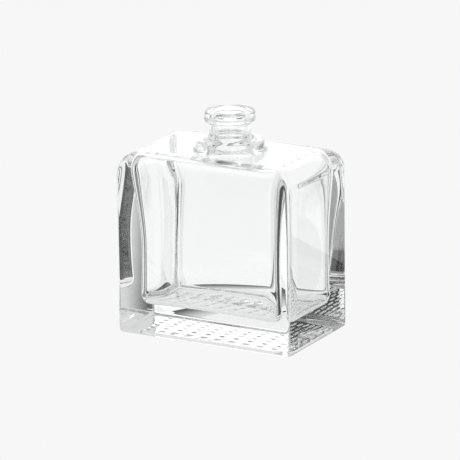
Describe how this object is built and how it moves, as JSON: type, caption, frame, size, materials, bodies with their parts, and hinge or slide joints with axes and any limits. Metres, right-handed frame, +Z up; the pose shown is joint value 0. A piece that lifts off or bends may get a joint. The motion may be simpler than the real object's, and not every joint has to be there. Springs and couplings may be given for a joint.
{
  "type": "glass perfumery bottle",
  "caption": "Rectangular thick-based clear glass aftershave bottle with a plain crimp-neck finish, open at the mouth and empty.",
  "frame": {"origin": "on the table plane, below the middle of the block and the neck axis", "axes": "+Z up along the neck axis, -Y out of the wide front face, +X out of the right-hand narrow face"},
  "size_m": [0.057, 0.0356, 0.0666],
  "materials": {
    "clear_glass": "fire-polished clear flint glass"
  },
  "bodies": {
    "root": {"glass_bottle": "clear_glass"}
  },
  "joints": []
}
